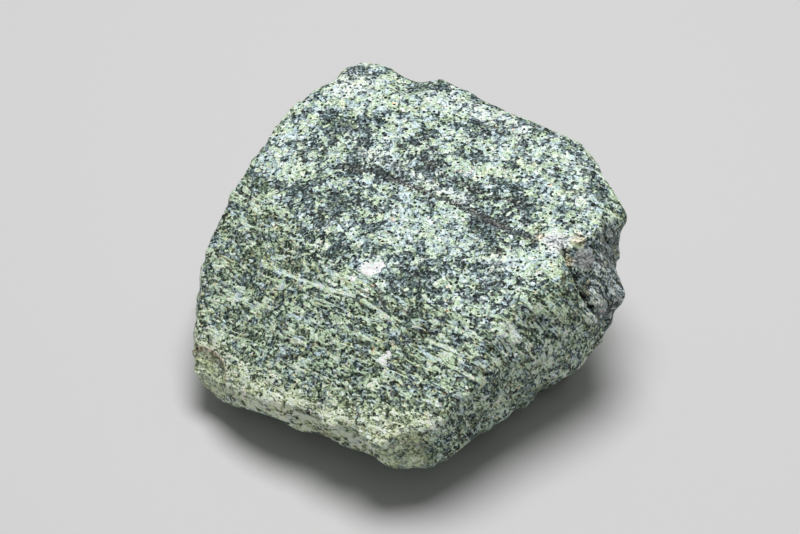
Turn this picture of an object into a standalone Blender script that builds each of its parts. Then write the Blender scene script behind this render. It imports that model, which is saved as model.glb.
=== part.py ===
"""Serpentine rock: a hand-size lump of raw serpentine, broken on every side.

One solid.  It is shaped in millimetres: the corners where its broken faces
meet span a hull, the hull is turned into an even skin, and the skin is dented,
cracked and roughened like the stone.  Then it is thinned, cut level where it
rests and brought to metres.
+X is to the right, +Y to the back, +Z up.  The origin is on the floor, below
the middle of the rock.
"""

from math import exp

import bmesh
import bpy
from mathutils import Matrix, Vector, noise

NAME = "serpentine_rock"
MM = 0.001

# Corners between the broken faces, in mm, going round the rock.
BACK_RIM = [
    (-17.0, 32.0, 35.5),
    (-14.0, 33.0, 36.0),
    (-12.0, 37.0, 36.0),
    (-7.5, 39.5, 36.0),
    (6.5, 34.5, 36.0),
    (9.5, 31.5, 36.0),
    (22.0, 23.0, 35.5),
    (29.0, 18.0, 35.0),
    (32.0, 16.0, 34.5),
    (34.0, 13.0, 34.5),
    (37.0, 6.5, 33.5),
    (38.5, 3.0, 32.0),
]
RIGHT_RIM = [
    (40.0, 1.0, 30.0),
    (33.5, -4.5, 34.0),
    (28.5, -11.0, 34.0),
    (25.0, -16.5, 32.5),
    (14.0, -27.0, 29.5),
    (9.5, -36.5, 22.5),
]
FRONT_RIM = [
    (2.5, -40.5, 17.0),
    (-5.5, -41.5, 15.5),
    (-13.5, -36.5, 14.5),
    (-27.0, -27.0, 13.0),
    (-39.0, -12.0, 12.0),
]
LEFT_RIM = [
    (-38.0, -7.0, 15.5),
    (-36.0, 2.0, 22.0),
    (-33.0, 9.0, 27.0),
    (-29.5, 14.5, 30.5),
    (-26.0, 20.5, 32.5),
    (-21.5, 27.0, 34.0),
]
# The soft crease where the level top turns down into the sloping front.
TOP_CREASE = [
    (-29.0, 7.5, 29.0),
    (-20.0, -1.5, 31.0),
    (-8.5, -15.5, 30.5),
    (4.0, -21.0, 30.5),
]
FRONT_FOOT = [
    (-39.5, -16.0, 9.0),
    (-38.0, -16.5, 6.5),
    (-35.0, -18.0, 4.5),
    (-27.0, -25.5, 8.0),
    (-21.0, -30.0, 9.5),
    (-6.5, -36.5, 9.0),
    (-1.5, -40.0, 8.5),
    (4.5, -39.5, 8.0),
    (6.5, -31.5, 5.0),
]
RIGHT_WALL = [
    (16.5, -20.5, 1.5),
    (23.5, -13.0, 0.5),
    (30.5, -8.0, 1.0),
    (34.5, -9.0, 8.0),
    (36.0, -10.5, 12.0),
    (36.5, -10.5, 17.0),
    (38.5, -11.0, 23.0),
]
BACK_WALL = [
    (-13.5, 41.0, 20.0),
    (12.5, 38.0, 16.0),
    (32.5, 24.0, 14.0),
    (37.0, 8.0, 20.0),
    (-35.5, 16.0, 12.0),
    (-27.5, 30.0, 14.0),
]
# The underside goes this far below the floor, and is then cut level.
SPARE_BELOW = 0.3
RESTING_CORNERS = [
    (-31.0, -12.0),
    (14.5, -17.5),
    (27.0, -6.0),
    (21.0, 18.0),
    (-9.0, 28.5),
    (-29.0, 9.0),
]

# Hollows and lumps: middle, radius, and the push in mm along x, y and z.
HOLLOWS = [
    ((0.5, 34.5, 36.0), 6.0, (0.0, -1.8, -1.5)),    # notch in the back rim
    ((-13.5, 35.5, 36.0), 4.0, (0.9, -0.9, 0.0)),   # step beside the peak
    ((38.5, -4.0, 27.0), 7.5, (-3.0, 0.6, 0.0)),    # between the right spurs
    ((-9.5, -37.5, 11.0), 6.5, (0.8, 2.5, 0.6)),    # nick left of the tip
    ((-17.5, -33.0, 11.0), 6.5, (0.9, 2.0, 0.4)),   # nick further left
    ((-36.0, -17.5, 11.5), 6.0, (0.9, 0.7, -0.7)),  # scoop at the left corner
    ((20.0, 33.0, 26.0), 13.0, (-1.5, -3.0, 0.0)),  # broad hollow behind
    ((-31.0, 26.0, 22.0), 9.0, (1.8, -1.8, 0.0)),   # hollow behind, at the left
]
LUMPS = [
    ((33.5, -13.5, 24.5), 3.5, (0.6, -0.7, 0.4)),   # knob on the lower spur
    ((25.5, -18.0, 27.0), 8.0, (0.7, -0.7, 0.2)),   # swell left of the crack
    ((29.0, -12.5, 10.0), 8.0, (0.7, -0.7, 0.0)),   # swell above the foot
    ((0.0, 2.0, 0.0), 18.0, (0.0, 0.0, -1.2)),      # the spot it rests on
]
# A crack down the right side: steep on its left, easing out to its right.
CRACK = [
    (28.5, -12.5, 32.5),
    (29.5, -14.5, 29.0),
    (31.5, -15.0, 25.0),
    (33.0, -13.5, 19.5),
    (34.5, -11.5, 14.0),
]
CRACK_DEPTH = 1.5
CRACK_STEEP_SIDE = 1.6
CRACK_EASY_SIDE = 6.0
CRACK_ACROSS = Vector((0.69, 0.72, 0.0))

# Broken relief: small tilted faces that follow the layers in the stone.
LAYER_NORMAL = Vector((0.56, 0.70, 0.44)).normalized()
SHARD_LENGTH = 11.0
SHARD_THICKNESS = 5.0
SHARD_STEP = 1.5
SHARD_MEAN = 0.25
SHARD_CRISPNESS = 14.0
DICE_SPREAD = 41.0
SWELL_LENGTH = 26.0
SWELL_HEIGHT = 0.7
GRAIN_LENGTH = 4.5
GRAIN_HEIGHT = 0.35
# The top broke smoother: it gets this share of the relief where it faces up.
TOP_SHARE = 0.3
TOP_FACES_UP = 0.6
SEED = Vector((3.7, 11.2, 5.9))

SKIN_CELL = 0.8
ROUNDING_PASSES = 5
# The creases of the top are softened, fully where it faces up this much.
CREASE_PASSES = 120
CREASE_FROM = 0.66
CREASE_FULLY = 0.76
TRIANGLES = 8900
ON_THE_CUT = 1e-5


def clear_scene():
    for old in list(bpy.data.objects):
        bpy.data.objects.remove(old)


def collection(name):
    group = bpy.data.collections.new(name)
    bpy.context.scene.collection.children.link(group)
    return group


def stone_material():
    material = bpy.data.materials.new("serpentine")
    material.use_nodes = True
    surface = material.node_tree.nodes["Principled BSDF"]
    surface.inputs["Base Color"].default_value = (0.30, 0.37, 0.30, 1.0)
    surface.inputs["Roughness"].default_value = 0.75
    surface.inputs["Metallic"].default_value = 0.0
    return material


def corner_hull():
    """The convex hull of all the named corners."""
    resting = [(x, y, -SPARE_BELOW) for x, y in RESTING_CORNERS]
    bm = bmesh.new()
    for ring in (BACK_RIM, RIGHT_RIM, FRONT_RIM, LEFT_RIM, TOP_CREASE,
                 FRONT_FOOT, RIGHT_WALL, BACK_WALL, resting):
        for corner in ring:
            bm.verts.new(corner)
    result = bmesh.ops.convex_hull(bm, input=bm.verts)
    inside = set(result["geom_interior"] + result["geom_unused"])
    bmesh.ops.delete(bm, geom=list(inside), context="VERTS")
    bmesh.ops.recalc_face_normals(bm, faces=bm.faces)
    mesh = bpy.data.meshes.new(NAME)
    bm.to_mesh(mesh)
    bm.free()
    return mesh


def apply_modifiers(rock):
    """Replace the rock's mesh with what its modifiers make of it."""
    depsgraph = bpy.context.evaluated_depsgraph_get()
    mesh = bpy.data.meshes.new_from_object(rock.evaluated_get(depsgraph))
    rock.modifiers.clear()
    rock.data = mesh


def even_skin(rock):
    """An even mesh over the hull, with its edges worn round."""
    skin = rock.modifiers.new("skin", "REMESH")
    skin.mode = "VOXEL"
    skin.voxel_size = SKIN_CELL
    worn = rock.modifiers.new("worn edges", "SMOOTH")
    worn.factor = 0.5
    worn.iterations = ROUNDING_PASSES
    apply_modifiers(rock)


def soften_creases(rock):
    """Blend the faces of the top into one another, inside its rim."""
    top = rock.vertex_groups.new(name="top")
    for vertex in rock.data.vertices:
        inside = (vertex.normal.z - CREASE_FROM) / (CREASE_FULLY - CREASE_FROM)
        top.add([vertex.index], min(max(inside, 0.0), 1.0), "REPLACE")
    soft = rock.modifiers.new("soft creases", "SMOOTH")
    soft.factor = 0.5
    soft.iterations = CREASE_PASSES
    soft.vertex_group = "top"
    apply_modifiers(rock)
    rock.vertex_groups.clear()


def falloff(distance, radius):
    """1 at the middle, 0 from the radius outward, smooth between."""
    share = min(distance / radius, 1.0)
    return (1.0 - share * share) ** 2


def local_push(point):
    """The hollows and lumps that reach this point."""
    push = Vector()
    for middle, radius, reach in HOLLOWS + LUMPS:
        near = falloff((point - Vector(middle)).length, radius)
        push += near * Vector(reach)
    return push


def away_from_run(point, run):
    """The shortest way from a run of straight pieces to the point."""
    ways = []
    for start, end in zip(run, run[1:]):
        a = Vector(start)
        along = Vector(end) - a
        share = (point - a).dot(along) / along.length_squared
        ways.append(point - a - min(max(share, 0.0), 1.0) * along)
    return min(ways, key=lambda way: way.length)


def crack_share(point):
    """1 at the foot of the crack's steep side, easing off to the right of it."""
    away = away_from_run(point, CRACK)
    steep = away.dot(CRACK_ACROSS) < 0.0
    return falloff(away.length, CRACK_STEEP_SIDE if steep else CRACK_EASY_SIDE)


def shard_height(point):
    """Height of the small tilted faces: each has its own step and tilt."""
    across = point.dot(LAYER_NORMAL)
    in_layer = point - across * LAYER_NORMAL
    place = in_layer / SHARD_LENGTH + LAYER_NORMAL * across / SHARD_THICKNESS + SEED
    distances, middles = noise.voronoi(place)
    total = 0.0
    weights = 0.0
    for distance, middle in zip(distances, middles):
        dice = noise.cell_vector(middle * DICE_SPREAD)
        tilt = Vector((dice.y, dice.z, dice.x)) - Vector((0.5, 0.5, 0.5))
        weight = exp(-SHARD_CRISPNESS * (distance - distances[0]))
        total += weight * (0.5 * dice.x + tilt.dot(place - middle))
        weights += weight
    return total / weights


def roughen(rock):
    """Dents, lumps, the crack and the broken relief."""
    mesh = rock.data
    starts = [(v.co.copy(), v.normal.copy()) for v in mesh.vertices]
    for vertex, (point, normal) in zip(mesh.vertices, starts):
        broken = TOP_SHARE if normal.z > TOP_FACES_UP else 1.0
        relief = SHARD_STEP * (shard_height(point) - SHARD_MEAN)
        relief += GRAIN_HEIGHT * noise.noise(point / GRAIN_LENGTH + SEED)
        swell = SWELL_HEIGHT * noise.noise(point / SWELL_LENGTH + SEED)
        height = broken * relief + swell - CRACK_DEPTH * crack_share(point)
        vertex.co = point + local_push(point) + normal * height


def thin_out(rock):
    """Bring the skin down to the wanted number of triangles."""
    rock.data.calc_loop_triangles()
    thin = rock.modifiers.new("thin", "DECIMATE")
    thin.ratio = TRIANGLES / len(rock.data.loop_triangles)
    thin.use_collapse_triangulate = True
    apply_modifiers(rock)


def cut_level(rock):
    """Cut the rock flat at the floor and close the cut."""
    bm = bmesh.new()
    bm.from_mesh(rock.data)
    everything = list(bm.verts) + list(bm.edges) + list(bm.faces)
    cut = bmesh.ops.bisect_plane(bm, geom=everything, dist=ON_THE_CUT, plane_co=(0, 0, 0),
                                 plane_no=(0, 0, 1), clear_inner=True)
    rim = [part for part in cut["geom_cut"] if isinstance(part, bmesh.types.BMEdge)]
    bmesh.ops.triangle_fill(bm, edges=rim, use_beauty=True, normal=(0, 0, -1))
    bmesh.ops.triangulate(bm, faces=bm.faces)
    bmesh.ops.recalc_face_normals(bm, faces=bm.faces)
    bm.to_mesh(rock.data)
    bm.free()


def centre_over_origin(rock):
    """Move the origin below the middle of the rock, and go to metres."""
    corners = [Vector(corner) for corner in rock.bound_box]
    low = Vector([min(c[axis] for c in corners) for axis in range(3)])
    high = Vector([max(c[axis] for c in corners) for axis in range(3)])
    middle = (low + high) / 2.0
    shift = Matrix.Translation((-middle.x, -middle.y, 0.0))
    rock.data.transform(Matrix.Scale(MM, 4) @ shift)


def build_rock():
    rock = bpy.data.objects.new(NAME, corner_hull())
    collection(NAME).objects.link(rock)
    even_skin(rock)
    soften_creases(rock)
    roughen(rock)
    thin_out(rock)
    cut_level(rock)
    centre_over_origin(rock)
    rock.data.materials.clear()
    rock.data.materials.append(stone_material())
    return rock


clear_scene()
build_rock()
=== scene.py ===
"""Looks of the serpentine rock: its broken skin, its speckled stone, a plain studio.

Lengths are in millimetres until a mesh or an object takes them in metres.
"""

from math import cos, exp, radians, sin
from types import SimpleNamespace

import bmesh
import bpy
import numpy as np
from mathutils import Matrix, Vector, noise


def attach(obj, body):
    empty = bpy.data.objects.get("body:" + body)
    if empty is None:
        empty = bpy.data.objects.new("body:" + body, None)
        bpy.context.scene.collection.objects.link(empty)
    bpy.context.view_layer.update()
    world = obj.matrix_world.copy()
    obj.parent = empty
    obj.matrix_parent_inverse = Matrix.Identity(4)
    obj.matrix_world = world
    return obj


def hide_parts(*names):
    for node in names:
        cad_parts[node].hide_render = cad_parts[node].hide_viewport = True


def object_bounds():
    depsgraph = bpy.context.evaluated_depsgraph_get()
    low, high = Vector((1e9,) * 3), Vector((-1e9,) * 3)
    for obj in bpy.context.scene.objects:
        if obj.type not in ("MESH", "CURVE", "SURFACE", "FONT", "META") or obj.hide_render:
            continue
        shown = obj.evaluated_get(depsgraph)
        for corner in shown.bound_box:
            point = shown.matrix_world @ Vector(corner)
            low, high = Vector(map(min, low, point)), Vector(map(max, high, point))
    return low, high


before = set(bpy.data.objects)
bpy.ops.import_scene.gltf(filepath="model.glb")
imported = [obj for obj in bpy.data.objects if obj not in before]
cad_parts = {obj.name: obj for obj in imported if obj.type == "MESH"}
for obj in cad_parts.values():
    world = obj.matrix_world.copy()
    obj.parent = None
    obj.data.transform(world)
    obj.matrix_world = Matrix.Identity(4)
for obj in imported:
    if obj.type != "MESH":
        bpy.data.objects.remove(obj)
cad_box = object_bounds()


# THE ROCK
# One lump of raw serpentine, broken by hammer and left as it broke: a granular
# top, a sloping front that shows the layers edge-on, and rough steep sides.
# The solid gives its faces; here its skin gets the finer relief of the stone.

MM = 0.001
SAME_POINT = 0.001
SKIN_CELL = 0.45
SKIN_SMOOTHING = 3
LAYER_NORMAL = Vector((0.56, 0.70, 0.44)).normalized()
TOP_LAYERS = Vector((0.50, 0.87, 0.0)).normalized()


def merged_copy(node, name):
    """A copy of a CAD node with its loose triangles joined up."""
    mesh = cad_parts[node].data.copy()
    mesh.name = name
    bm = bmesh.new()
    bm.from_mesh(mesh)
    bmesh.ops.remove_doubles(bm, verts=bm.verts, dist=SAME_POINT * MM)
    bm.to_mesh(mesh)
    bm.free()
    piece = bpy.data.objects.new(name, mesh)
    bpy.context.scene.collection.objects.link(piece)
    return piece


def even_skin(piece, cell, passes):
    """Remesh into an even skin and smooth the steps of the remesh away."""
    skin = piece.modifiers.new("skin", "REMESH")
    skin.mode = "VOXEL"
    skin.voxel_size = cell
    smooth = piece.modifiers.new("smooth", "SMOOTH")
    smooth.factor = 0.5
    smooth.iterations = passes
    depsgraph = bpy.context.evaluated_depsgraph_get()
    mesh = bpy.data.meshes.new_from_object(piece.evaluated_get(depsgraph))
    piece.modifiers.clear()
    piece.data = mesh


def rise(value, low, high):
    """0 at low, 1 at high, smooth between. Low may be above high."""
    share = np.clip((value - low) / (high - low), 0.0, 1.0)
    return share * share * (3.0 - 2.0 * share)


def off_spot(points, middle, radius):
    """How far the points are from a middle, in radii."""
    return np.linalg.norm(points - np.array(middle), axis=1) / radius


def in_spot(points, middle, radius, core):
    """0 from the radius on, 1 within the core, which is a share of the radius."""
    return rise(off_spot(points, middle, radius), 1.0, core)


def off_line(points, path):
    """How far the points are from a line through a few places, in mm."""
    path = np.array(path)
    nearest = np.full(len(points), 1e9)
    for start, end in zip(path, path[1:]):
        run = end - start
        along = np.clip((points - start) @ run / (run @ run), 0.0, 1.0)
        foot = start + along[:, None] * run
        nearest = np.minimum(nearest, np.linalg.norm(points - foot, axis=1))
    return nearest


rock = merged_copy("serpentine_rock", "rock")
even_skin(rock, SKIN_CELL * MM, SKIN_SMOOTHING)
count = len(rock.data.vertices)
points = np.empty(count * 3, "f")
facing = np.empty(count * 3, "f")
rock.data.vertices.foreach_get("co", points)
rock.data.vertices.foreach_get("normal", facing)
points = points.reshape(-1, 3) / MM
facing = facing.reshape(-1, 3)
upward = facing[:, 2]

# Marks of the break: an open crack at the right end with a hollow, a small block
# and a knob beside it, and a shell-shaped chip off the left corner.
CRACK = [(27.6, -10.4, 32.8), (28.2, -12.0, 31.6), (28.8, -13.2, 30.2),
         (29.9, -14.3, 28.1), (31.4, -15.0, 25.2), (32.1, -15.3, 24.0)]
CRACK_REACH = 1.1
CRACK_DEPTH = 1.3
LOWER_CRACK = [(32.1, -15.3, 24.0), (33.2, -15.6, 21.5), (34.0, -12.5, 15.5)]
LOWER_CRACK_REACH = 0.8
LOWER_CRACK_DEPTH = 0.6
TREMBLE_SIZE = 1.6
HOLLOW = (28.1, -11.7, 31.6)
BLOCK = (30.8, -10.2, 31.1)
KNOB = (33.3, -14.4, 24.5)
CHIP = (-39.0, -19.5, 9.5)
CHIP_RADIUS = 7.2
CHIP_CORE = 0.90
# Forms beside the cracks: middle, radius, core, and height out of the skin.
SMALL_FORMS = [
    (HOLLOW, 1.5, 0.3, -0.60),
    (CHIP, CHIP_RADIUS, CHIP_CORE, -0.55),
    (BLOCK, 2.0, 0.75, 0.35),
    (KNOB, 1.5, 0.5, 0.60),
]

tremble = np.array([noise.noise(Vector(p) / TREMBLE_SIZE) for p in points])
off_crack = off_line(points, CRACK) + 0.7 * tremble
off_lower_crack = off_line(points, LOWER_CRACK) + 0.4 * tremble
carved = -CRACK_DEPTH * rise(off_crack, CRACK_REACH, 0.1)
carved -= LOWER_CRACK_DEPTH * rise(off_lower_crack, LOWER_CRACK_REACH, 0.0)
for middle, radius, core, outward in SMALL_FORMS:
    carved += outward * in_spot(points, middle, radius, core)

# Fine relief, in mm: the size of each kind, then how far it stands out or in.
# Layers and shards have a length along the layers and a thickness across them.
GRAIN_SIZE, GRAIN_RELIEF = 1.1, 0.10
LUMP_SIZE, LUMP_RELIEF = 3.0, 0.10
LAYER_SIZES, LAYER_RELIEF, MORE_ON_SLOPES = (5.0, 1.0), 0.05, 0.14
SHARD_SIZES, SHARD_RELIEF, MORE_ON_WALLS = (5.0, 2.6), 0.10, 0.45
PIT_SPACING, PIT_DEPTH = 3.2, 0.22
# Without a unit: how hard the edges of shards are, the share of cells that hold
# a pit, and how much of its cell the pit and its wall take.
SHARD_SHARPNESS = 16.0
PITTED_SHARE = 0.35
PIT_RADIUS, PIT_WALL = 0.30, 0.18


def in_layers(point, length, thickness):
    """The point in a frame where the stone's layers are stretched out."""
    across = point.dot(LAYER_NORMAL)
    return (point - across * LAYER_NORMAL) / length + LAYER_NORMAL * across / thickness


def shards(place):
    """Small tilted broken faces, each with its own step and tilt."""
    distances, middles = noise.voronoi(place)
    total = 0.0
    weights = 0.0
    for distance, middle in zip(distances, middles):
        dice = noise.cell_vector(middle * 37.0)
        tilt = Vector((dice.y, dice.z, dice.x)) - Vector((0.5, 0.5, 0.5))
        weight = exp(-SHARD_SHARPNESS * (distance - distances[0]))
        total += weight * (0.5 * dice.x + tilt.dot(place - middle))
        weights += weight
    return total / weights - 0.25


def pits(place):
    """Round pits, in a share of the cells."""
    distances, middles = noise.voronoi(place)
    if noise.cell_vector(middles[0] * 29.0).x > PITTED_SHARE:
        return 0.0
    return min(max((PIT_RADIUS - distances[0]) / PIT_WALL, 0.0), 1.0)


def stone_relief(point, rough, slope):
    """Height of the fine relief at a point, in mm."""
    layer_relief = LAYER_RELIEF + MORE_ON_SLOPES * slope
    shard_relief = SHARD_RELIEF + MORE_ON_WALLS * rough
    height = GRAIN_RELIEF * noise.noise(point / GRAIN_SIZE)
    height += LUMP_RELIEF * noise.noise(point / LUMP_SIZE)
    height += layer_relief * noise.noise(in_layers(point, *LAYER_SIZES))
    height += shard_relief * shards(in_layers(point, *SHARD_SIZES))
    height -= PIT_DEPTH * pits(point / PIT_SPACING)
    return height


rough = rise(upward, 0.85, 0.45)
slope = rise(upward, 0.93, 0.85)
chipped = in_spot(points, CHIP, CHIP_RADIUS, CHIP_CORE)
height = np.array([stone_relief(Vector(p), r, s) for p, r, s in zip(points, rough, slope)])
height = height * (1.0 - 0.6 * chipped) + carved
# The flat spot that the rock rests on stays flat.
at_rest = (points[:, 2] < 0.05) & (upward < -0.9)
height[at_rest] = 0.0
finished = (points + facing * height[:, None]) * MM
finished = np.clip(finished, np.array(cad_box[0]), np.array(cad_box[1]))
rock.data.vertices.foreach_set("co", finished.astype("f").ravel())
rock.data.update()
rock.data.shade_smooth()

# Where the stone is darker or paler over a few millimetres: x, y, z, radius, amount.
PATCHES = [
    (-9.5, 15.5, 34.2, 3.0, -0.10), (-16.0, 3.5, 32.0, 6.5, -0.11),
    (14.0, -3.5, 33.8, 5.0, -0.22), (21.5, -6.0, 33.9, 4.0, -0.12),
    (27.5, -4.0, 33.9, 3.0, -0.16), (-13.0, -8.0, 31.0, 4.5, -0.11),
    (-28.0, -5.0, 24.5, 5.0, -0.20), (-28.5, -14.0, 19.0, 6.0, -0.15),
    (-19.5, -11.0, 26.3, 5.0, -0.28), (-6.5, -18.5, 29.0, 3.5, -0.16),
    (3.0, -20.5, 30.0, 5.0, -0.12), (-6.5, -27.0, 24.5, 6.0, -0.18),
    (1.5, -26.0, 26.3, 5.0, -0.30), (0.2, -33.0, 22.2, 4.0, -0.09),
    (24.0, -18.5, 30.0, 5.0, -0.26),
    (-8.5, 30.0, 35.7, 7.5, 0.28), (-18.0, 21.5, 33.0, 5.0, 0.12),
    (-16.0, 29.0, 35.0, 4.0, 0.16), (-16.5, 11.0, 32.6, 4.0, 0.12),
    (7.5, 23.0, 35.7, 8.0, 0.20), (26.0, 9.0, 34.5, 8.5, 0.12),
    (0.5, -2.5, 33.3, 5.5, 0.16), (1.5, 28.5, 35.9, 4.0, 0.16),
    (19.5, -13.5, 32.6, 5.0, 0.28), (10.5, -25.4, 29.3, 4.0, 0.24),
    (18.0, -26.0, 27.0, 4.5, 0.24), (5.4, -32.4, 24.1, 3.5, 0.06),
    (-34.5, -6.0, 18.0, 5.0, 0.12), (-22.5, -29.0, 12.5, 6.0, 0.12),
    (-14.5, -34.0, 14.0, 6.0, 0.14), (-7.0, -39.0, 15.0, 5.0, 0.16),
]
DARK_BAND = [(-12.2, 12.2, 33.4), (-5.1, 9.7, 33.8), (-1.5, 7.0, 33.9), (9.1, 0.7, 33.9),
             (16.1, -4.4, 33.7), (22.1, -8.5, 33.8)]
THIN_DARK_BAND = [(-11.4, 18.6, 34.4), (-2.4, 16.4, 35.0), (2.1, 13.2, 34.9),
                  (6.9, 7.9, 34.5), (12.7, 3.7, 34.3), (21.4, 0.2, 34.3)]
PALE_VEINS = [
    [(-22.1, -8.2, 26.0), (-19.0, -11.1, 26.7), (-12.8, -15.7, 28.3), (-9.7, -17.6, 28.9)],
    [(-8.1, -18.6, 28.9), (-3.6, -22.2, 27.9)],
    [(3.3, -26.6, 26.9), (8.1, -29.3, 26.5)],
]
# White spots: middle and radius.
WHITE_SPOTS = [
    ((-6.9, -13.4, 31.2), 1.6), ((-5.2, -12.6, 31.5), 1.2), ((-9.9, -14.4, 30.2), 0.7),
    ((-4.6, -28.6, 23.9), 0.9), ((-3.6, -28.0, 24.4), 0.7),
]
# Pale places, partly bleached stone and partly painted sheen of the overhead light, and
# rusty places: middle, radius, core, strength.
BLEACH_AND_SHEEN_SPOTS = [
    ((25.8, -8.9, 33.7), 3.6, 0.3, 1.6), ((-11.0, 33.0, 35.7), 6.0, 0.3, 0.6),
    (KNOB, 1.6, 0.4, 0.8), ((30.4, 3.2, 34.1), 4.0, 0.2, 0.5),
    ((31.4, 11.0, 34.4), 4.0, 0.2, 0.5), ((17.8, -26.3, 27.1), 4.0, 0.3, 0.25),
    ((15.9, -12.7, 32.9), 4.5, 0.3, 0.4),
]
RUSTY_SPOTS = [
    (HOLLOW, 1.8, 0.3, 0.7), ((30.0, -7.7, 33.4), 1.9, 0.4, 0.5),
    ((23.1, -7.6, 33.8), 1.2, 0.3, 0.6),
]
# Pale streaks, partly bleached stone and partly painted sheen of the overhead light: path,
# half width, core width, strength.
BLEACH_AND_SHEEN_STREAKS = [
    ([(-9.0, 15.2, 34.3), (-1.5, 10.6, 34.3), (5.6, 5.0, 34.2), (10.9, 1.9, 34.1)],
     1.9, 0.5, 0.6),
    ([(4.0, 28.8, 36.0), (11.2, 26.2, 35.8), (20.1, 19.3, 35.6)], 3.5, 1.0, 0.4),
]
# The yellowed lower edge in front: below a tilted line, on what faces this way.
RIM_TILT = 0.165
RIM_TOP = 21.5
RIM_FACING = (-0.55, -0.65, 0.50)
# Smoother breaks: the right end, and the tip in front.
END, END_RADIUS = (36.0, -8.5, 25.0), 11.0
TIP, TIP_RADIUS = (-1.5, -41.0, 11.0), 8.0


def strongest(spots):
    """The strongest of a few spots at each point."""
    return np.max([strength * in_spot(points, middle, radius, core)
                   for middle, radius, core, strength in spots], axis=0)


def stone_marks():
    """What the material reads at each point of the skin, by name."""
    rim_depth = points[:, 2] - RIM_TILT * points[:, 0]
    streaks = [strength * rise(off_line(points, path), width, core)
               for path, width, core, strength in BLEACH_AND_SHEEN_STREAKS]
    return {
        "paler": sum(amount * in_spot(points, (x, y, z), radius, 0.3)
                     for x, y, z, radius, amount in PATCHES),
        "off_dark": np.minimum(off_line(points, DARK_BAND),
                               off_line(points, THIN_DARK_BAND) + 0.4),
        "off_vein": np.min([off_line(points, vein) for vein in PALE_VEINS], axis=0),
        "off_white": np.min([off_spot(points, *spot) for spot in WHITE_SPOTS], axis=0),
        # Pale places: partly bleached stone, partly painted sheen of the overhead light on
        # the top.
        "bleached": np.max([strongest(BLEACH_AND_SHEEN_SPOTS)] + streaks, axis=0),
        "rim": (rise(rim_depth, RIM_TOP, 18.0)
                * rise(facing @ np.array(RIM_FACING), 0.35, 0.65)),
        "end": in_spot(points, END, END_RADIUS, 0.6) * rise(facing[:, 0], 0.15, 0.45),
        "tip": in_spot(points, TIP, TIP_RADIUS, 0.6) * rise(facing[:, 1], -0.75, -0.92),
        "chip": chipped,
        "chip_edge": (rise(np.abs(off_spot(points, CHIP, CHIP_RADIUS) - 0.97) * CHIP_RADIUS,
                           0.7, 0.1)
                      * rise(upward, 0.1, 0.4)),
        "off_crack": np.minimum(off_crack, off_lower_crack + 0.3),
        "block": in_spot(points, BLOCK, 2.1, 0.8),
        "rusty": strongest(RUSTY_SPOTS),
        "slope": rise(upward, 0.95, 0.86),
        "wall": rise(upward, 0.72, 0.50),
    }


skin_marks = stone_marks()
for mark, values in skin_marks.items():
    layer = rock.data.attributes.new(mark, "FLOAT", "POINT")
    layer.data.foreach_set("value", np.asarray(values, "f"))


class Wire:
    """An output in a material. Sums and products of wires add Math nodes."""

    def __init__(self, tree, socket):
        self.tree = tree
        self.socket = socket

    def node(self, kind, inputs=None, output=0, stops=None, **settings):
        """Add a node, set it up, then link or set its inputs."""
        made = self.tree.nodes.new(kind)
        for name, value in settings.items():
            setattr(made, name, value)
        if stops:
            ramp = made.color_ramp.elements
            while len(ramp) < len(stops):
                ramp.new(1.0)
            for element, (place, grey) in zip(ramp, stops):
                element.position = place
                element.color = (grey, grey, grey, 1.0)
        for name, value in (inputs or {}).items():
            if isinstance(value, Wire):
                self.tree.links.new(value.socket, made.inputs[name])
            else:
                made.inputs[name].default_value = value
        return Wire(self.tree, made.outputs[output])

    def math(self, operation, *others):
        """A Math node on this and the others."""
        values = dict(enumerate((self,) + others))
        return self.node("ShaderNodeMath", values, operation=operation)

    def vector(self, operation, *others, output=0):
        """A Vector Math node on this and the others."""
        values = dict(enumerate((self,) + others))
        return self.node("ShaderNodeVectorMath", values, output, operation=operation)

    def __add__(self, other):
        return self.math("ADD", other)

    def __sub__(self, other):
        return self.math("SUBTRACT", other)

    def __mul__(self, other):
        return self.math("MULTIPLY", other)

    def __rsub__(self, other):
        return self.node("ShaderNodeMath", {0: other, 1: self}, operation="SUBTRACT")

    __radd__ = __add__
    __rmul__ = __mul__

    def swing(self):
        """A value from 0 to 1, moved to go from -0.5 to 0.5."""
        return self - 0.5

    def largest(self, *others):
        """The largest of this and the others."""
        most = self
        for other in others:
            most = most.math("MAXIMUM", other)
        return most

    def mix_toward(self, goal, share):
        """From this value to the goal as the share goes from 0 to 1."""
        return self + (goal - self) * share

    def rise(self, low, high):
        """0 at low, 1 at high, smooth between. Low may be above high."""
        inputs = {"Value": self, "From Min": low, "From Max": high}
        return self.node("ShaderNodeMapRange", inputs, interpolation_type="SMOOTHSTEP")

    def noise(self, size, detail=2.0, roughness=0.5, output=0):
        """Noise with features about this many mm across."""
        inputs = {"Vector": self, "Scale": 1.0 / size, "Detail": detail,
                  "Roughness": roughness}
        return self.node("ShaderNodeTexNoise", inputs, output)

    def cells(self, size, output="Color"):
        """Cells about this many mm across: their dice or the distance to them."""
        inputs = {"Vector": self, "Scale": 1.0 / size}
        return self.node("ShaderNodeTexVoronoi", inputs, output)

    def scaled(self, factor):
        """This vector times a number."""
        return self.node("ShaderNodeVectorMath", {0: self, "Scale": factor},
                         operation="SCALE")

    def part(self, axis):
        """One of the three parts of this vector or of these dice."""
        return self.node("ShaderNodeSeparateXYZ", {0: self}, axis)

    def mark(self, name):
        """One of the marks kept on the rock's points."""
        return self.node("ShaderNodeAttribute", output="Fac", attribute_name=name)

    def mix(self, start, end):
        """From the start colour to the end colour as this goes from 0 to 1."""
        inputs = {0: self, 6: start, 7: end}
        return self.node("ShaderNodeMix", inputs, 2, data_type="RGBA")

    def choose(self, start, end):
        """The start vector where this is 0, the end vector where it is 1."""
        inputs = {0: self, 4: start, 5: end}
        return self.node("ShaderNodeMix", inputs, 1, data_type="VECTOR")


# The stone's material: pale green and dark slate grains about a millimetre
# across with black specks, granular on top, drawn out in layers on the sides.
# A tone, from 0 for black to 1 for white, is worked out first and then tinted.

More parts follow.
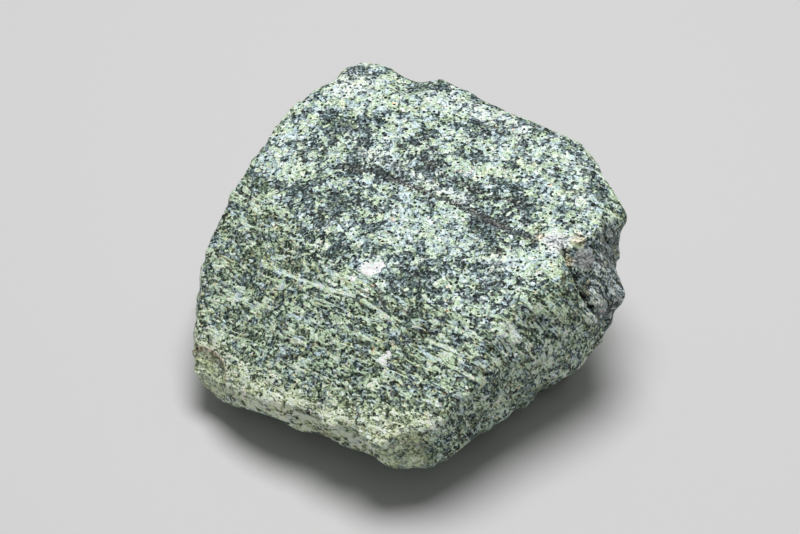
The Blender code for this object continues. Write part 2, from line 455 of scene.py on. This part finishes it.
# Sizes of what the stone is made of, in mm.
PATCH, BLOB, PEBBLE, GRAIN = 6.0, 2.2, 0.88, 0.52
DUST, FINE_DUST = 0.50, 0.34
LARGE_DOT, SMALL_DOT, SPECK, RUST_SPOT = 0.95, 0.50, 1.2, 3.1

PALE_TONE = 0.80
DARK_TONE = 0.37
FLAKE_TONE = 0.98
DOT_TONE = 0.05
THREAD_TONE = 0.94
VEIN_TONE = 1.0
BAND_TONE = 0.16
SPECK_TONE = 0.01
SMOOTH_BREAK_TONE = 0.53
BLOCK_TONE = 0.62
# Painted shade: the deep tone that the cracks are darkened to.
CRACK_SHADE_TONE = 0.14

# The grey that each tone stands for, and the tints that multiply it.
GREYS = [(0.0, 0.004), (0.2, 0.026), (0.4, 0.12), (0.6, 0.34), (0.8, 0.66), (1.0, 0.94)]
COOL = (0.80, 1.04, 1.12, 1.0)
GREEN = (0.82, 1.08, 0.72, 1.0)
SLATE = (0.75, 1.00, 1.00, 1.0)
TAN = (0.96, 1.05, 0.58, 1.0)
BROWN = (1.12, 0.97, 0.80, 1.0)
RUST = (1.45, 0.85, 0.45, 1.0)
WHITE = (1.0, 1.0, 1.0, 1.0)
STRIAE_NORMAL = Vector((-0.35, 0.47, 0.81)).normalized()
BUMP_HEIGHT = 0.15


def stretched(place, normal, length, thickness):
    """The place in a frame where layers with this normal are stretched out."""
    n = tuple(normal)
    across = place.vector("DOT_PRODUCT", n, output="Value")
    along_n = across.node("ShaderNodeVectorMath", {0: n, "Scale": across},
                          operation="SCALE")
    flat = place.vector("SUBTRACT", along_n).scaled(1.0 / length)
    return flat.vector("ADD", along_n.scaled(1.0 / thickness))


def round_dots(place, size, edge):
    """Round dots of uneven size, one in each cell that is large enough."""
    off_middle = place.cells(size, "Distance") - 0.42 * place.cells(size).part(1)
    return off_middle.rise(edge, -0.10)


def scattered(place, size, radius, share):
    """Round spots in a share of the cells."""
    spots = place.cells(size, "Distance").rise(radius, radius - 0.06)
    return spots * place.cells(size).part(0).rise(share, share - 0.04)


def stone_texture(place, marks):
    """The grains, dust, rows and spots that tone, tint and bump share."""
    # The two grain directions meet on a ragged line, so no grain is smeared.
    wobble = place.noise(1.3, 1.0, output="Color").vector("SUBTRACT", (0.5, 0.5, 0.5))
    ragged = place.vector("ADD", wobble.scaled(0.9))
    nearly = place.vector("ADD", wobble.scaled(0.40))
    on_side = (marks.slope + 0.8 * place.noise(2.5).swing()).math("GREATER_THAN", 0.25)
    stone = on_side.choose(ragged, stretched(ragged, LAYER_NORMAL, 1.3, 0.85))
    layers = on_side.choose(stretched(nearly, TOP_LAYERS, 2.0, 1.0),
                            stretched(nearly, LAYER_NORMAL, 4.5, 0.9))

    # Grains fade toward the edges of their cells, so the seams between grains are darker:
    # partly the stone's dark matrix, partly painted shade between the grains.
    body = (0.65 - 0.30 * on_side) * stone.cells(PEBBLE, "Distance") - 0.275
    body = body + (0.9 + 0.35 * on_side) * stone.noise(0.8, 1.0) - 0.04 * on_side
    dust = 0.5 * place.noise(DUST, 1.5, 0.6) + 0.46 * place.cells(FINE_DUST).part(0) - 0.48
    threads = layers.noise(1.5, 1.0).swing().math("ABSOLUTE").rise(0.065, 0.025)
    threads = threads * place.noise(2.2, 1.0).rise(0.46, 0.54)
    large_dots = round_dots(place, LARGE_DOT, -0.03)
    small_dots = round_dots(place, SMALL_DOT, -0.02)
    return SimpleNamespace(
        on_side=on_side, body=body, dust=dust, threads=threads,
        patches=stone.noise(PATCH, 2.0), blobs=stone.noise(BLOB, 2.0, 0.5),
        pebbles=stone.cells(PEBBLE), grains=stone.cells(GRAIN),
        rows=layers.noise(1.0, 2.0, 0.6), fibres=layers.noise(0.45, 1.5, 0.6),
        dots=large_dots.largest(small_dots), specks=scattered(place, SPECK, 0.21, 0.50))


def pale_share(texture, marks):
    """Where the pale grains are.

    They are crowded together where the stone is pale, single where it is dark,
    and in rows on the sides.
    """
    on_side = texture.on_side
    crowd = (1.6 - 0.7 * on_side) * texture.blobs.swing()
    crowd = crowd + (1.6 - 0.6 * on_side) * texture.patches.swing()
    crowd = crowd + 1.4 * marks.paler + (0.15 + 1.75 * on_side) * texture.rows.swing()
    crowd = crowd + 0.03 - 0.18 * on_side + 0.06 * marks.rim
    crowd = crowd.math("MINIMUM", 0.24 - 0.08 * marks.rim)
    return (texture.body - 0.30 * texture.pebbles.part(0) - 1.2 * crowd).rise(0.44, 0.24)


def grain_tone(texture, marks, pale):
    """Tone of the plain stone: grains, flakes, dark dots and pale threads."""
    on_side, wall, dust = texture.on_side, marks.wall, texture.dust
    uneven = texture.grains.part(1).swing()
    pale_tone = PALE_TONE + 0.26 * texture.pebbles.part(1).swing() + 0.18 * uneven
    # On the walls the pale grains are paler and the fine fibres give strong light and dark
    # stripes, which the bump raises too: partly the stone's layering, partly painted light
    # and shade on the wall's ridges.
    pale_tone = pale_tone + 0.10 * wall
    dark_tone = DARK_TONE + 0.04 * on_side + 0.08 * marks.rim + 0.30 * uneven + 0.3 * dust
    tone = dark_tone.mix_toward(pale_tone, pale) + 0.80 * dust
    tone = tone + (0.06 * on_side + 0.80 * wall) * texture.fibres.swing()

    flakes = texture.grains.part(0).rise(0.84, 0.90) * (0.25 + 0.35 * on_side)
    dots = (0.95 - 0.20 * on_side - 0.35 * wall) * texture.dots
    threads = (0.75 * on_side) * (1.0 - 0.8 * marks.rim) * texture.threads
    tone = tone.mix_toward(FLAKE_TONE + 0.5 * dust, flakes)
    tone = tone.mix_toward(DOT_TONE + 0.4 * dust, dots)
    return tone.mix_toward(THREAD_TONE + 0.5 * dust, threads)


def marked_tone(tone, texture, marks, masks):
    """The plain tone with veins, white spots, bands and breaks on it, pale places that are
    partly painted sheen, and painted shade in the cracks.
    """
    dust = texture.dust
    tone = tone.mix_toward(VEIN_TONE + 0.5 * dust, 0.9 * masks.vein)
    # Paler where the stone is bleached and where sheen is painted.
    tone = tone + 0.20 * marks.bleached
    tone = tone.mix_toward(1.0, masks.white * (1.0 - 0.8 * texture.dots))
    tone = tone.mix_toward(BAND_TONE + 0.30 * tone + 0.7 * dust, 0.9 * masks.dark)
    tone = tone.mix_toward(SPECK_TONE, texture.specks * (1.0 - 0.6 * marks.wall))

    smooth = (0.55 * marks.chip).largest(0.55 * marks.tip, 0.25 * marks.end)
    tone = tone.mix_toward(SMOOTH_BREAK_TONE - 0.09 * marks.chip + 0.6 * dust, smooth)
    tone = tone + (0.17 + 0.30 * texture.grains.part(0).swing()) * marks.rim
    tone = tone - 0.09 * marks.end
    tone = tone.mix_toward(BLOCK_TONE + 1.0 * masks.striae.swing(), 0.6 * marks.block)
    # Painted shade in the cracks: the tone drops to a deep brown along them.
    return tone.mix_toward(CRACK_SHADE_TONE + 0.5 * dust, 0.85 * masks.crack)


def ragged_masks(place, texture, marks):
    """The veins, white spots, dark bands and the painted shade in the cracks, with frayed
    edges.
    """
    fray = 2.2 * texture.dust + 1.8 * texture.blobs.swing()
    fray = fray + 0.8 * texture.pebbles.part(0).swing()
    band = marks.off_dark + 0.7 * fray + 2.5 * texture.patches.swing()
    return SimpleNamespace(
        vein=(marks.off_vein + 0.20 * fray).rise(0.48, 0.20),
        white=(marks.off_white + 0.55 * fray).rise(1.0, 0.8),
        dark=band.rise(1.1, 0.5),
        crack=(marks.off_crack + 0.4 * fray).rise(0.8, 0.4),
        striae=stretched(place, STRIAE_NORMAL, 4.0, 0.30).noise(1.0, 1.0))


def stone_tint(place, tone, pale, texture, marks, masks):
    """Tint of the stone: cool to green, then tan, brown, white, rust and slate."""
    on_side, pebbles, end = texture.on_side, texture.pebbles, marks.end
    warm = 0.30 + 0.20 * pale + 1.6 * texture.blobs.swing()
    warm = warm + 0.90 * pebbles.part(2).swing() + 0.32 * on_side - 0.8 * end

    yellow = (place.noise(4.5, 2.0) + 0.25 * pebbles.part(1).swing()).rise(0.61, 0.80)
    on_rim = (0.40 + 0.3 * yellow + 0.4 * pebbles.part(2)) * marks.rim
    olive = place.noise(1.1, 1.0).rise(0.56, 0.64) * (1.0 - pale) * (0.2 + 0.6 * on_side)
    yellow = (0.6 * yellow).largest(on_rim, 0.6 * marks.chip, 0.35 * marks.tip, olive)

    brown_grains = 0.5 * texture.grains.part(2).rise(0.92, 0.95)
    # The brown along the cracks is painted shade.
    brown = (0.25 * masks.dark).largest(brown_grains, 0.25 * end, 0.6 * masks.crack)
    rust = scattered(place, RUST_SPOT, 0.15, 0.24)
    rust = rust.largest(0.5 * marks.chip_edge, marks.rusty)
    plain = tone.rise(0.82, 1.15) * (1.0 - 0.4 * marks.rim)
    # Whiter where the stone is bleached and where sheen is painted.
    plain = plain.largest(masks.white, 0.5 * marks.bleached, 0.5 * masks.dark,
                          0.8 * marks.block)
    slate = tone.rise(0.60, 0.30) * place.noise(3.0, 1.0).rise(0.62, 0.42)

    tint = warm.rise(0.0, 1.0).mix(COOL, GREEN)
    tint = yellow.mix(tint, TAN)
    tint = brown.mix(tint, BROWN)
    tint = plain.mix(tint, WHITE)
    tint = (0.6 * rust).mix(tint, RUST)
    return tint.vector("MULTIPLY", slate.mix(WHITE, SLATE))


def grit(pale, texture, marks):
    """What the bump stands on: grains and threads out, specks and dots in."""
    height = 0.7 * texture.grains.part(1) + 1.2 * texture.dust + 0.8 * texture.blobs
    height = height - 0.8 * texture.specks - 0.5 * texture.dots
    height = height + 1.0 * pale + 0.8 * texture.threads
    return height + 1.4 * marks.wall * texture.fibres


def serpentine():
    """The one material of the rock: its colour, roughness and bump."""
    material = bpy.data.materials.new("serpentine")
    material.use_nodes = True
    tree = material.node_tree
    surface = tree.nodes["Principled BSDF"]
    place = Wire(tree, None).node("ShaderNodeTexCoord", output="Object").scaled(1.0 / MM)
    marks = SimpleNamespace(**{mark: place.mark(mark) for mark in skin_marks})
    texture = stone_texture(place, marks)
    masks = ragged_masks(place, texture, marks)
    pale = pale_share(texture, marks)
    tone = marked_tone(grain_tone(texture, marks, pale), texture, marks, masks)

    tint = stone_tint(place, tone, pale, texture, marks, masks)
    grey = tone.node("ShaderNodeValToRGB", {0: tone}, stops=GREYS)
    colour = tint.vector("MULTIPLY", grey)
    tree.links.new(colour.socket, surface.inputs["Base Color"])

    surface.inputs["Specular IOR Level"].default_value = 0.3
    roughness = 0.74 - 0.20 * tone
    tree.links.new(roughness.socket, surface.inputs["Roughness"])

    bump = tone.node("ShaderNodeBump", {"Height": grit(pale, texture, marks),
                                        "Strength": 0.8, "Distance": BUMP_HEIGHT * MM})
    tree.links.new(bump.socket, surface.inputs["Normal"])
    return material


rock.data.materials.clear()
rock.data.materials.append(serpentine())
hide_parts("serpentine_rock")
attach(rock, "root")


# THE STUDIO
# A plain pale floor, a broad soft light overhead and a little behind the rock,
# and the camera looking down on it as the photograph does.

FLOOR_SIZE = 3.0
FLOOR_GREY = 0.58
LIGHT_PLACE = (0.02, 0.14, 0.82)
LIGHT_AIM = (0.0, 0.0, 0.02)
LIGHT_SIZE = 0.5
LIGHT_POWER = 7.0
WORLD_STRENGTH = 0.20
LENS = 105.0
SENSOR_WIDTH = 23.6
CAMERA_TILT = 42.0
CAMERA_DISTANCE = 0.644
CAMERA_TARGET = Vector((-0.0015, 0.0020, 0.018))


def floor():
    """A plain pale plane under the rock."""
    bpy.ops.mesh.primitive_plane_add(size=FLOOR_SIZE)
    ground = bpy.context.object
    ground.name = "floor"
    material = bpy.data.materials.new("pale floor")
    material.use_nodes = True
    surface = material.node_tree.nodes["Principled BSDF"]
    surface.inputs["Base Color"].default_value = (FLOOR_GREY, FLOOR_GREY, FLOOR_GREY, 1.0)
    surface.inputs["Roughness"].default_value = 0.6
    ground.data.materials.append(material)


def area_light(name, place, aim, size, power):
    """A round soft light at a place, turned to its aim."""
    light = bpy.data.lights.new(name, "AREA")
    light.shape = "DISK"
    light.size = size
    light.energy = power
    lamp = bpy.data.objects.new(name, light)
    bpy.context.scene.collection.objects.link(lamp)
    lamp.location = place
    lamp.rotation_euler = (Vector(aim) - Vector(place)).to_track_quat("-Z", "Y").to_euler()


def soft_world(strength):
    """Even white light from all around."""
    world = bpy.data.worlds.new("studio")
    bpy.context.scene.world = world
    world.use_nodes = True
    background = world.node_tree.nodes["Background"]
    background.inputs["Color"].default_value = (1.0, 1.0, 1.0, 1.0)
    background.inputs["Strength"].default_value = strength


def camera():
    """A camera in front of the rock, looking down on it by its tilt."""
    lens = bpy.data.cameras.new("camera")
    lens.lens = LENS
    lens.sensor_width = SENSOR_WIDTH
    lens.dof.use_dof = False
    lens.clip_start = 0.01
    eye = bpy.data.objects.new("camera", lens)
    bpy.context.scene.collection.objects.link(eye)
    tilt = radians(CAMERA_TILT)
    back = Vector((0.0, -cos(tilt), sin(tilt)))
    eye.location = CAMERA_TARGET + back * CAMERA_DISTANCE
    eye.rotation_euler = (radians(90.0) - tilt, 0.0, 0.0)
    bpy.context.scene.camera = eye


floor()
area_light("overhead", LIGHT_PLACE, LIGHT_AIM, LIGHT_SIZE, LIGHT_POWER)
soft_world(WORLD_STRENGTH)
camera()
bpy.context.scene.view_settings.view_transform = "Standard"
